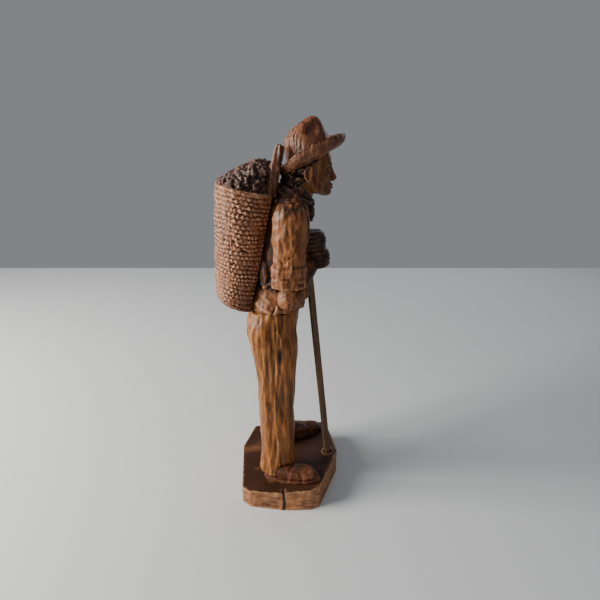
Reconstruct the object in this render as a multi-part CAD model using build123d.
"""Carved wooden figurine: a walker with a load basket on the back and a staff.

Frame: millimetres, +Z up, +X the way the figure faces, +Y its left.
The origin is the middle of the underside of the base.
Each carved block is a solid of its own. Glued joints meet face to face and are
pinned by hidden dowels. The staff is loose: it lifts along its own axis.
"""
from build123d import *
import math
import os

# ---------------------------------------------------------------- driving dimensions
# Base: a wedge-topped board with knocked-off corners.
BASE_FRONT_THICKNESS = 13.9
BASE_BACK_THICKNESS = 9.6
BASE_FRONT_X = 28.8
BASE_BACK_X = -28.8
BASE_OUTLINE = [  # corners of the board, (x, y)
    (-21.0, -28.4), (-2.5, -31.3), (12.4, -30.9), (17.7, -27.8), (BASE_FRONT_X, 0.4),
    (28.0, 8.1), (24.9, 24.3), (21.2, 31.4), (-23.2, 31.4), (BASE_BACK_X, 11.0), (-25.5, -24.3),
]

# Heights of the stacked blocks, each measured from the block below.
LEG_HEIGHT = 97.5        # top of the base under the figure, up to the shirt's hem
TORSO_HEIGHT = 57.5      # hem, up to the flat that the neck stands on
CUFF_DROP = 3.0          # how far above the base the trouser cuffs end

# Shoes.
SHOE_LENGTH = 33.0
SHOE_WIDTH = 13.0
SHOE_HEIGHT = 9.0
SHOE_TOE_HEIGHT = 4.4
SHOE_TURN_OUT = 13.0     # degrees
RIGHT_SHOE_AT = (1.9, -18.4)
LEFT_SHOE_AT = (4.6, 20.4)

# Back basket.
BASKET_HEIGHT = 58.5
BASKET_LEAN = 7.0        # degrees, its top leans forward
BASKET_RIM_TILT = 4.0    # degrees, how much more its rim drops towards the front
BASKET_BOTTOM_AT = (-26.0, 0.0, 1.25)      # x, y, height over the hem
BASKET_BOTTOM_RADII = (11.6, 13.2)
BASKET_TOP_RADII = (15.2, 16.8)
BASKET_WALL = 2.2
BASKET_BOTTOM_SLOPE = 16.0   # degrees, its underside drops towards the front
BASKET_RECESS = 9.0      # depth of the hollow that the load sits in
LOAD_HEIGHT = 10.5       # how far the heap stands over the rim
STAKE_LENGTH = 22.5
STAKE_BOTTOM_RADIUS = 2.9
STAKE_TOP_RADIUS = 1.8
STAKE_FOOT_AT = (11.3, -7.5, -1.2)   # from the middle of the rim: forward, left, up
STAKE_LEAN = 14.0        # degrees, towards the front

# The plane on which the basket lies against the back, through two points.
BACK_PLANE_LOW = (-16.6, 5.75)    # x, height over the hem
BACK_PLANE_HIGH = (-6.6, -3.75)   # x, height over the neck flat

# Staff and the holes that hold it.
STAFF_DIAMETER = 4.0
STAFF_FOOT_AT = (23.0, 1.0)       # where its axis meets the top of the base
STAFF_HEAD_AT = (10.7, 1.0, 22.25)   # x, y, height over the hem
STAFF_SOCKET_DEPTH = 6.0
STAFF_SOCKET_CLEARANCE = 0.45     # radial, in the base
STAFF_BORE_CLEARANCE = 0.35       # radial, in the fists
STAFF_END_CLEARANCE = 0.3         # under the foot
STAFF_LIFT = 7.5                  # travel before the head meets the end of its bore
SOCKET_LIP_HEIGHT = 0.5
SOCKET_LIP_WIDTH = 1.2

# Hat: brim and crown measured from the middle of the brim.
HAT_TILT = 27.0          # degrees, brim up at the front
HAT_AT = (12.5, 0.0, 16.05)   # x, y, height over the neck flat
BRIM_RADII = (16.8, 14.6)
BRIM_THICKNESS = 2.8
CROWN_HEIGHT = 16.5
CROWN_RADII = (11.9, 10.2)

# Arms, right side (the left is the same, mirrored, but for its hand).
GLUE_FACE_Y = 12.0       # flat on which each sleeve is glued to the torso
SHOULDER_AT = (2.0, 17.0, -6.75)   # x, y, height over the neck flat
ELBOW_AT = (1.2, 19.8, 9.35)       # x, y, height over the hem
SLEEVE_RADII = (8.3, 6.4)
SLEEVE_END = 15.75       # height of the cuff's end over the hem
FOREARM_RADIUS = 5.5
ELBOW_SWELL = 1.08       # the elbow's ball against the forearm
WRIST_RADIUS = 3.9
FIST_RADII = (7.2, 6.4, 4.4)
LOWER_FIST_FORWARD = 4.2  # how far its middle stands in front of the staff
UPPER_FIST_FORWARD = 2.8
FIST_GRIP = 28.75        # height over the hem where the upper fist rests on the lower one
WRIST_FROM_FIST = (-1.5, 3.0, -1.0)   # back, outwards, up

# Dowels (radius, length).
LEG_DOWEL = (2.5, 26.0)
WAIST_DOWEL = (3.0, 24.0)
NECK_DOWEL = (2.0, 14.0)
HAT_DOWEL = (1.75, 12.0)
SHOULDER_DOWEL = (2.0, 11.0)
ELBOW_DOWEL = (1.75, 9.0)
BASKET_DOWEL = (2.0, 12.0)
LEG_DOWEL_SHARE = 0.55   # its middle, as a share of the shoe's height
BASKET_DOWEL_SHARES = ((0.3, "lower_basket_dowel"), (0.75, "upper_basket_dowel"))

RING_POINTS = 12         # points on the spline of each carved section
HUGE = 400.0             # side of the blocks that trim along a plane


# ---------------------------------------------------------------- helpers
def ring(centre, radii, plane_x=(1, 0, 0), normal=(0, 0, 1), squareness=2.0):
    """A closed rounded section: an ellipse at squareness 2, boxier above it."""
    plane = Plane(origin=centre, x_dir=plane_x, z_dir=normal)
    points = []
    for k in range(RING_POINTS):
        angle = 2 * math.pi * k / RING_POINTS
        c, s = math.cos(angle), math.sin(angle)
        u = math.copysign(abs(c) ** (2 / squareness), c) * radii[0]
        v = math.copysign(abs(s) ** (2 / squareness), s) * radii[1]
        points.append(plane.from_local_coords(Vector(u, v, 0)))
    return make_face(Spline(*points, periodic=True))


def carve(rings):
    """One block, lofted through its sections from first to last."""
    return loft(rings)


def beyond(point, normal):
    """A big block that fills the side of a plane that its normal points to."""
    plane = Plane(origin=point, z_dir=normal)
    return plane * Pos(0, 0, HUGE / 2) * Box(HUGE, HUGE, HUGE)


def rod(start, direction, radius, length):
    """A round rod from start along direction."""
    plane = Plane(origin=start, z_dir=direction)
    return plane * Pos(0, 0, length / 2) * Cylinder(radius, length)


def dowel(middle, direction, size):
    """A dowel pin of size (radius, length), centred on the joint that it pins."""
    radius, length = size
    start = Vector(*middle) - Vector(*direction).normalized() * (length / 2)
    return rod(start, direction, radius, length)


def mirror_y(point):
    """The same place on the other side of the figure."""
    return (point[0], -point[1], point[2])


def solid_of(shape):
    """The largest solid of a shape, without the crumbs that a cut may leave."""
    return max(shape.solids(), key=lambda s: s.volume)


# ---------------------------------------------------------------- levels and directions
BASE_SLOPE = (BASE_FRONT_THICKNESS - BASE_BACK_THICKNESS) / (BASE_FRONT_X - BASE_BACK_X)


def base_top(x):
    """Height of the sloping top of the base at x."""
    return BASE_BACK_THICKNESS + BASE_SLOPE * (x - BASE_BACK_X)


FLOOR_Z = base_top(0.0)
HEM_Z = FLOOR_Z + LEG_HEIGHT
NECK_Z = HEM_Z + TORSO_HEIGHT
CUFF_Z = FLOOR_Z + CUFF_DROP
SLEEVE_END_Z = HEM_Z + SLEEVE_END
FIST_GRIP_Z = HEM_Z + FIST_GRIP


def above(level, offset):
    """A point whose height is given over a level."""
    return Vector(offset[0], offset[1], level + offset[2])


BASE_NORMAL = Vector(-BASE_SLOPE, 0, 1).normalized()
STAFF_FOOT = Vector(STAFF_FOOT_AT[0], STAFF_FOOT_AT[1], base_top(STAFF_FOOT_AT[0]))
STAFF_HEAD = above(HEM_Z, STAFF_HEAD_AT)
STAFF_AXIS = (STAFF_HEAD - STAFF_FOOT).normalized()
SHOULDER = above(NECK_Z, SHOULDER_AT)
ELBOW = above(HEM_Z, ELBOW_AT)
HAT_MIDDLE = above(NECK_Z, HAT_AT)
HAT_FORWARD = Vector(math.cos(math.radians(HAT_TILT)), 0, math.sin(math.radians(HAT_TILT)))
HAT_UP = Vector(-math.sin(math.radians(HAT_TILT)), 0, math.cos(math.radians(HAT_TILT)))
BASKET_UP = Vector(math.sin(math.radians(BASKET_LEAN)), 0, math.cos(math.radians(BASKET_LEAN)))
BASKET_FORWARD = Vector(BASKET_UP.Z, 0, -BASKET_UP.X)
BASKET_FOOT = above(HEM_Z, BASKET_BOTTOM_AT)
RIM_LEAN = math.radians(BASKET_LEAN + BASKET_RIM_TILT)
RIM_UP = Vector(math.sin(RIM_LEAN), 0, math.cos(RIM_LEAN))
RIM_FORWARD = Vector(RIM_UP.Z, 0, -RIM_UP.X)
BACK_POINT = Vector(BACK_PLANE_LOW[0], 0, HEM_Z + BACK_PLANE_LOW[1])
BACK_UP = Vector(BACK_PLANE_HIGH[0], 0, NECK_Z + BACK_PLANE_HIGH[1]) - BACK_POINT
BACK_NORMAL = Vector(-BACK_UP.Z, 0, BACK_UP.X).normalized()   # out of the back


# ---------------------------------------------------------------- base and shoes
def make_base():
    """Board with a sloping top and a raised lip round the staff's socket."""
    outline = make_face(Polyline(*BASE_OUTLINE, close=True))
    board = extrude(outline, amount=BASE_FRONT_THICKNESS * 2)
    top_point = Vector(0, 0, FLOOR_Z)
    board = board - beyond(top_point, BASE_NORMAL)
    lip_radius = STAFF_DIAMETER / 2 + STAFF_SOCKET_CLEARANCE + SOCKET_LIP_WIDTH
    lip = rod(STAFF_FOOT - STAFF_AXIS * lip_radius, STAFF_AXIS, lip_radius,
              lip_radius + SOCKET_LIP_HEIGHT)
    within = extrude(outline, amount=BASE_FRONT_THICKNESS * 2)
    board = board + (lip & within)
    socket_radius = STAFF_DIAMETER / 2 + STAFF_SOCKET_CLEARANCE
    socket_bottom = STAFF_FOOT - STAFF_AXIS * STAFF_SOCKET_DEPTH
    return board - rod(socket_bottom, STAFF_AXIS, socket_radius, 3 * STAFF_SOCKET_DEPTH)


def make_shoe(at, turn, base):
    """Low shoe: long sole, rising instep, standing on the sloping base."""
    half = SHOE_LENGTH / 2
    wide = SHOE_WIDTH / 2
    sections = [  # height over the base, shift towards the heel, half length, half width
        (-4.0, 0.0, half * 0.96, wide * 0.92),
        (1.2, 0.0, half, wide),
        (SHOE_TOE_HEIGHT, half * 0.03, half * 0.95, wide * 0.94),
        (SHOE_TOE_HEIGHT * 0.5 + SHOE_HEIGHT * 0.5, half * 0.28, half * 0.66, wide * 0.84),
        (SHOE_HEIGHT, half * 0.42, half * 0.44, wide * 0.66),
    ]
    rings = [ring((-back, 0, h), (rx, ry)) for h, back, rx, ry in sections]
    shoe = Pos(at[0], at[1], base_top(at[0])) * Rot(0, 0, turn) * carve(rings)
    return shoe - base


# ---------------------------------------------------------------- legs
LEG_SECTIONS = [  # share of the leg's height, x, half depth, half width
    (0.00, -6.2, 10.2, 8.2), (0.10, -6.2, 10.0, 8.0), (0.42, -6.0, 9.9, 8.1),
    (0.64, -6.3, 11.6, 8.9), (0.84, -7.4, 12.6, 9.2), (0.99, -6.0, 12.2, 7.4),
]
PELVIS_SECTIONS = [  # share of the leg's height, x, half depth, half width
    (0.76, -7.2, 9.5, 12.0), (0.86, -7.8, 13.0, 16.6), (1.00, -5.4, 13.0, 16.0),
]
RIGHT_LEG_Y = (-13.5, -8.0)      # middle of the leg at its cuff and at the hip
LEFT_LEG_Y = (14.5, 8.0)
LEFT_LEG_STEP = -0.6             # the left leg stands this far forward at the cuff


def leg_height(share):
    """Height of a trouser section above the underside of the base."""
    return CUFF_Z + share * (HEM_Z - CUFF_Z)


def make_leg(y_ends, step):
    """One trouser leg, from its cuff up into the seat."""
    rings = []
    for share, x, rx, ry in LEG_SECTIONS:
        y = y_ends[0] + share * (y_ends[1] - y_ends[0])
        rings.append(ring((x + step * (1 - share), y, leg_height(share)), (rx, ry), squareness=2.3))
    return carve(rings)


def make_trousers():
    """Both legs and the seat, flat under the cuffs and under the shirt."""
    seat = carve([ring((x, 0, leg_height(s)), (rx, ry), squareness=2.3)
                  for s, x, rx, ry in PELVIS_SECTIONS])
    return make_leg(RIGHT_LEG_Y, 0.0) + make_leg(LEFT_LEG_Y, LEFT_LEG_STEP) + seat


# ---------------------------------------------------------------- torso, collar, head
TORSO_SECTIONS = [  # share of the torso's height, x, half depth, half width
    (0.00, -5.0, 13.8, 16.8), (0.09, -4.4, 13.2, 15.6), (0.25, -3.6, 11.2, 13.2),
    (0.50, -2.2, 10.2, 13.6), (0.75, 0.9, 10.4, 14.6), (0.90, 1.9, 9.0, 13.4), (1.00, 2.9, 7.0, 9.0),
]
COLLAR_RADIUS = 8.0
COLLAR_THICKNESS = 2.6
COLLAR_HEIGHT = 4.6
NECK_SECTIONS = [  # height over the neck flat, x, half depth, half width
    (0.0, 3.2, 6.0, 5.8), (5.0, 5.6, 6.2, 5.9), (12.0, 8.0, 6.2, 6.0),
]
HEAD_SECTIONS = [  # height over the neck flat, x, half depth, half width
    (-1.8, 16.4, 5.0, 4.6), (1.0, 15.0, 7.4, 6.2), (5.0, 12.9, 9.9, 7.7), (11.0, 11.4, 11.2, 8.4),
    (18.0, 11.0, 9.9, 8.0), (23.0, 10.6, 8.0, 6.4),
]


def make_torso():
    """Shirt block from the hem to the neck, flat where the basket lies."""
    rings = [ring((x, 0, HEM_Z + share * TORSO_HEIGHT), (rx, ry), squareness=2.4)
             for share, x, rx, ry in TORSO_SECTIONS]
    return carve(rings) - beyond(BACK_POINT, BACK_NORMAL)


def make_collar():
    """Neckerchief round the neck, standing on the shoulders."""
    outer = carve([
        ring((2.6, 0, NECK_Z - COLLAR_HEIGHT), (COLLAR_RADIUS + 1.4, COLLAR_RADIUS + 1.8)),
        ring((3.4, 0, NECK_Z), (COLLAR_RADIUS + 0.6, COLLAR_RADIUS + 0.9)),
        ring((4.6, 0, NECK_Z + COLLAR_THICKNESS), (COLLAR_RADIUS - 0.8, COLLAR_RADIUS - 0.4)),
    ])
    return outer


def make_head():
    """Neck and head as one block, up into the hat."""
    neck = carve([ring((x, 0, NECK_Z + h), (rx, ry)) for h, x, rx, ry in NECK_SECTIONS])
    skull = carve([ring((x, 0, NECK_Z + h), (rx, ry)) for h, x, rx, ry in HEAD_SECTIONS])
    return neck + skull


CROWN_SECTIONS = [  # share of the crown's height, shift to the front, share of each radius
    (0.00, -1.0, 1.06, 1.03), (0.30, -0.5, 0.96, 0.94), (0.55, 0.2, 0.88, 0.86),
    (0.75, 0.8, 0.80, 0.77), (0.90, 2.2, 0.60, 0.57), (1.00, 3.8, 0.32, 0.30),
]


def hat_ring(height, forward, radii):
    """A section of the hat, in the tilted frame of its brim."""
    centre = HAT_MIDDLE + HAT_UP * height + HAT_FORWARD * forward
    return ring(centre, radii, plane_x=HAT_FORWARD, normal=HAT_UP)


def make_hat():
    """Thick oval brim with a rounded crown."""
    half = BRIM_THICKNESS / 2
    long, wide = BRIM_RADII
    brim = carve([
        hat_ring(-half, 0, (long - half, wide - half)),
        hat_ring(0, 0, (long, wide)),
        hat_ring(half, 0, (long - half * 0.8, wide - half * 0.8)),
    ])
    deep, broad = CROWN_RADII
    crown = carve([hat_ring(share * CROWN_HEIGHT, forward, (deep * rx, broad * ry))
                   for share, forward, rx, ry in CROWN_SECTIONS])
    return brim + crown


# ---------------------------------------------------------------- arms
SLEEVE_SECTIONS = [  # share of the drop to the cuff's end, share of the way to the elbow, scale
    (-0.103, -0.05, 0.48), (0.0, 0.02, 0.86), (0.257, 0.22, 1.02), (0.543, 0.45, 0.98),
    (0.80, 0.84, 0.97), (1.0, 0.92, 0.92),
]


def make_sleeve():
    """Right sleeve with its rolled cuff, flat where it is glued to the torso."""
    deep, broad = SLEEVE_RADII
    drop = SHOULDER.Z - SLEEVE_END_Z
    rings = []
    for fall, share, scale in SLEEVE_SECTIONS:
        x = SHOULDER.X + share * (ELBOW.X - SHOULDER.X)
        y = SHOULDER.Y + share * (ELBOW.Y - SHOULDER.Y)
        z = SHOULDER.Z - fall * drop
        rings.append(ring((x, -y, z), (deep * scale, broad * scale), squareness=2.3))
    return carve(rings) - beyond((0, -GLUE_FACE_Y, 0), (0, 1, 0))


def make_forearm(side, hand_low, hand_high, forward):
    """Forearm from the elbow to a fist closed round the staff."""
    elbow = Vector(ELBOW.X, side * ELBOW.Y, ELBOW.Z)
    grip = (hand_low + hand_high) / 2
    fist_at = STAFF_FOOT + STAFF_AXIS * ((grip - STAFF_FOOT.Z) / STAFF_AXIS.Z)
    fist_at = fist_at + Vector(forward, 0, 0)
    back, outwards, up = WRIST_FROM_FIST
    wrist = fist_at + Vector(back, side * outwards, up)
    along = (wrist - elbow).normalized()
    level = Vector(0, 0, 1).cross(along).normalized()
    arm = carve([
        ring(elbow, (FOREARM_RADIUS, FOREARM_RADIUS), plane_x=level, normal=along),
        ring(elbow + (wrist - elbow) * 0.45, (FOREARM_RADIUS * 0.9, FOREARM_RADIUS * 0.95),
             plane_x=level, normal=along),
        ring(wrist, (WRIST_RADIUS, WRIST_RADIUS), plane_x=level, normal=along),
    ])
    point = Plane(origin=elbow) * Sphere(FOREARM_RADIUS * ELBOW_SWELL)
    fist = carve([
        ring(fist_at + STAFF_AXIS * (h * FIST_RADII[2]), (FIST_RADII[0] * r, FIST_RADII[1] * r),
             plane_x=Vector(0, 1, 0).cross(STAFF_AXIS), normal=STAFF_AXIS, squareness=2.6)
        for h, r in [(-1.12, 0.72), (-0.5, 0.96), (0.5, 0.96), (1.12, 0.72)]
    ])
    return arm + point + fist


# ---------------------------------------------------------------- basket and its load
def basket_point(height):
    """A point on the basket's own axis."""
    return BASKET_FOOT + BASKET_UP * height


def basket_ring(height, radii):
    """A section across the leaning basket."""
    return ring(basket_point(height), radii, plane_x=BASKET_FORWARD, normal=BASKET_UP,
                squareness=2.3)


def mouth_ring(height, radii):
    """A section near the mouth, as tilted as the rim."""
    return ring(basket_point(height), radii, plane_x=RIM_FORWARD, normal=RIM_UP, squareness=2.3)


def basket_radii(share, inset=0.0):
    """Radii of the basket at a share of its height, less an inset."""
    low, high = BASKET_BOTTOM_RADII, BASKET_TOP_RADII
    return tuple(a + (b - a) * share - inset for a, b in zip(low, high))


def make_basket():
    """Tapered basket with a recess in its mouth."""
    body = carve([basket_ring(s * BASKET_HEIGHT, basket_radii(s)) for s in (-0.15, 0.4)]
                 + [mouth_ring(BASKET_HEIGHT, basket_radii(1.0))])
    slope = math.radians(BASKET_BOTTOM_SLOPE)
    body = body - beyond(BASKET_FOOT, (-math.sin(slope), 0, -math.cos(slope)))
    floor = 1 - BASKET_RECESS / BASKET_HEIGHT
    recess = carve([mouth_ring(s * BASKET_HEIGHT, basket_radii(s, BASKET_WALL))
                    for s in (floor, 1.0, 1.1)])
    return body - recess


HEAP_SECTIONS = [  # share of the heap's height, shift to the front, share of the rim's radii
    (0.55, 1.3, 0.82), (1.00, 2.6, 0.45),
]


def make_load():
    """Heaped load that fills the mouth of the basket."""
    floor = 1 - BASKET_RECESS / BASKET_HEIGHT
    low = basket_radii(floor, BASKET_WALL)
    rim = basket_radii(1.0, BASKET_WALL)
    plug = carve([mouth_ring(floor * BASKET_HEIGHT, low), mouth_ring(BASKET_HEIGHT, rim)])
    heap = carve([mouth_ring(BASKET_HEIGHT, rim)] + [
        ring(basket_point(BASKET_HEIGHT + LOAD_HEIGHT * share) + BASKET_FORWARD * forward,
             (rim[0] * scale, rim[1] * scale), plane_x=BASKET_FORWARD, normal=BASKET_UP)
        for share, forward, scale in HEAP_SECTIONS])
    return plug + heap


def make_stake():
    """Carved stub that stands in the load behind the hat."""
    lean = math.radians(STAKE_LEAN)
    up = Vector(math.sin(lean), 0, math.cos(lean))
    side = Vector(up.Z, 0, -up.X)
    forward, left, over = STAKE_FOOT_AT
    foot = basket_point(BASKET_HEIGHT + over) + BASKET_FORWARD * forward + Vector(0, left, 0)
    span = STAKE_BOTTOM_RADIUS - STAKE_TOP_RADIUS
    return carve([
        ring(foot + up * (share * STAKE_LENGTH),
             (STAKE_BOTTOM_RADIUS - share * span, STAKE_BOTTOM_RADIUS - share * span),
             plane_x=side, normal=up)
        for share in (0.0, 0.5, 1.0)
    ])


# ---------------------------------------------------------------- assembly
def build():
    """Every node by name, trimmed so that glued neighbours meet face to face."""
    base = make_base()
    trousers = make_trousers()
    right_shoe = make_shoe(RIGHT_SHOE_AT, -SHOE_TURN_OUT, base) - trousers
    left_shoe = make_shoe(LEFT_SHOE_AT, SHOE_TURN_OUT, base) - trousers

    right_sleeve = make_sleeve()
    left_sleeve = mirror(right_sleeve, about=Plane.XZ)
    torso = make_torso() - right_sleeve - left_sleeve

    grip_plane = STAFF_FOOT + STAFF_AXIS * ((FIST_GRIP_Z - STAFF_FOOT.Z) / STAFF_AXIS.Z)
    reach = 2 * FIST_RADII[2]
    lower = make_forearm(-1, FIST_GRIP_Z - reach, FIST_GRIP_Z, LOWER_FIST_FORWARD)
    lower = lower - beyond(grip_plane, STAFF_AXIS)
    upper = make_forearm(1, FIST_GRIP_Z, FIST_GRIP_Z + reach, UPPER_FIST_FORWARD) - lower
    right_forearm = lower - right_sleeve - torso
    left_forearm = upper - left_sleeve - torso

    hat = make_hat()
    head = make_head() - hat - torso
    collar = make_collar() - torso - head - right_sleeve - left_sleeve
    collar = collar - beyond(BACK_POINT, BACK_NORMAL)

    in_front = beyond(BACK_POINT, BACK_NORMAL * -1)
    basket = make_basket() - in_front - trousers
    load = make_load() - basket - in_front
    stake = make_stake() - basket - hat - head - collar - torso
    load = load - stake

    bore_radius = STAFF_DIAMETER / 2 + STAFF_BORE_CLEARANCE
    staff_foot = STAFF_FOOT - STAFF_AXIS * (STAFF_SOCKET_DEPTH - STAFF_END_CLEARANCE)
    staff_length = (STAFF_HEAD - staff_foot).length
    staff = rod(staff_foot, STAFF_AXIS, STAFF_DIAMETER / 2, staff_length)
    bore = rod(staff_foot, STAFF_AXIS, bore_radius, staff_length + STAFF_LIFT + STAFF_END_CLEARANCE)
    right_forearm = right_forearm - bore
    left_forearm = left_forearm - bore
    torso = torso - bore

    nodes = {
        "base_plinth": base, "right_shoe": right_shoe, "left_shoe": left_shoe,
        "trousers": trousers, "shirt_torso": torso, "neckerchief": collar, "head": head,
        "hat": hat, "right_sleeve": right_sleeve, "left_sleeve": left_sleeve,
        "right_forearm_hand": right_forearm, "left_forearm_hand": left_forearm,
        "back_basket": basket, "basket_load": load, "basket_stake": stake, "staff": staff,
    }
    add_dowels(nodes)
    return nodes


def add_dowels(nodes):
    """Dowels across the glued joints, each let into both of its blocks."""
    down = (0, 0, 1)
    leg_x = LEG_SECTIONS[0][1]
    leg_z = FLOOR_Z + SHOE_HEIGHT * LEG_DOWEL_SHARE
    right_leg = (leg_x, RIGHT_LEG_Y[0], leg_z)
    left_leg = (leg_x + LEFT_LEG_STEP, LEFT_LEG_Y[0], leg_z)
    waist = (TORSO_SECTIONS[0][1], 0, HEM_Z)
    neck = (NECK_SECTIONS[0][1], 0, NECK_Z)
    shoulder = (SHOULDER.X, -GLUE_FACE_Y, SHOULDER.Z - SLEEVE_RADII[0])
    elbow = (ELBOW.X, -ELBOW.Y, SLEEVE_END_Z)
    hat_seat = HAT_MIDDLE - HAT_UP * (BRIM_THICKNESS / 2)
    pins = [  # node, middle, direction, size, the blocks that it is let into
        ("right_leg_dowel", right_leg, down, LEG_DOWEL, ["base_plinth", "right_shoe", "trousers"]),
        ("left_leg_dowel", left_leg, down, LEG_DOWEL, ["base_plinth", "left_shoe", "trousers"]),
        ("waist_dowel", waist, down, WAIST_DOWEL, ["trousers", "shirt_torso"]),
        ("neck_dowel", neck, down, NECK_DOWEL, ["shirt_torso", "head"]),
        ("hat_dowel", hat_seat, HAT_UP, HAT_DOWEL, ["head", "hat"]),
        ("right_shoulder_dowel", shoulder, (0, 1, 0), SHOULDER_DOWEL,
         ["shirt_torso", "right_sleeve"]),
        ("left_shoulder_dowel", mirror_y(shoulder), (0, 1, 0), SHOULDER_DOWEL,
         ["shirt_torso", "left_sleeve"]),
        ("right_elbow_dowel", elbow, down, ELBOW_DOWEL, ["right_sleeve", "right_forearm_hand"]),
        ("left_elbow_dowel", mirror_y(elbow), down, ELBOW_DOWEL,
         ["left_sleeve", "left_forearm_hand"]),
    ]
    for share, name in BASKET_DOWEL_SHARES:
        on_back = BACK_POINT + BACK_UP * share
        pins.append((name, on_back, BACK_NORMAL, BASKET_DOWEL, ["shirt_torso", "back_basket"]))
    for name, middle, direction, size, blocks in pins:
        pin = dowel(middle, direction, size)
        for block in blocks:
            nodes[block] = nodes[block] - pin
        nodes[name] = pin


def main():
    """Build the figurine and write one STEP per node."""
    os.makedirs("parts", exist_ok=True)
    nodes = build()
    for name, shape in nodes.items():
        solid = solid_of(shape)
        export_step(solid, f"parts/{name}.step")
        print(f"{name:24s} {solid.volume:10.1f} mm3  pieces before tidy: {len(shape.solids())}")


main()
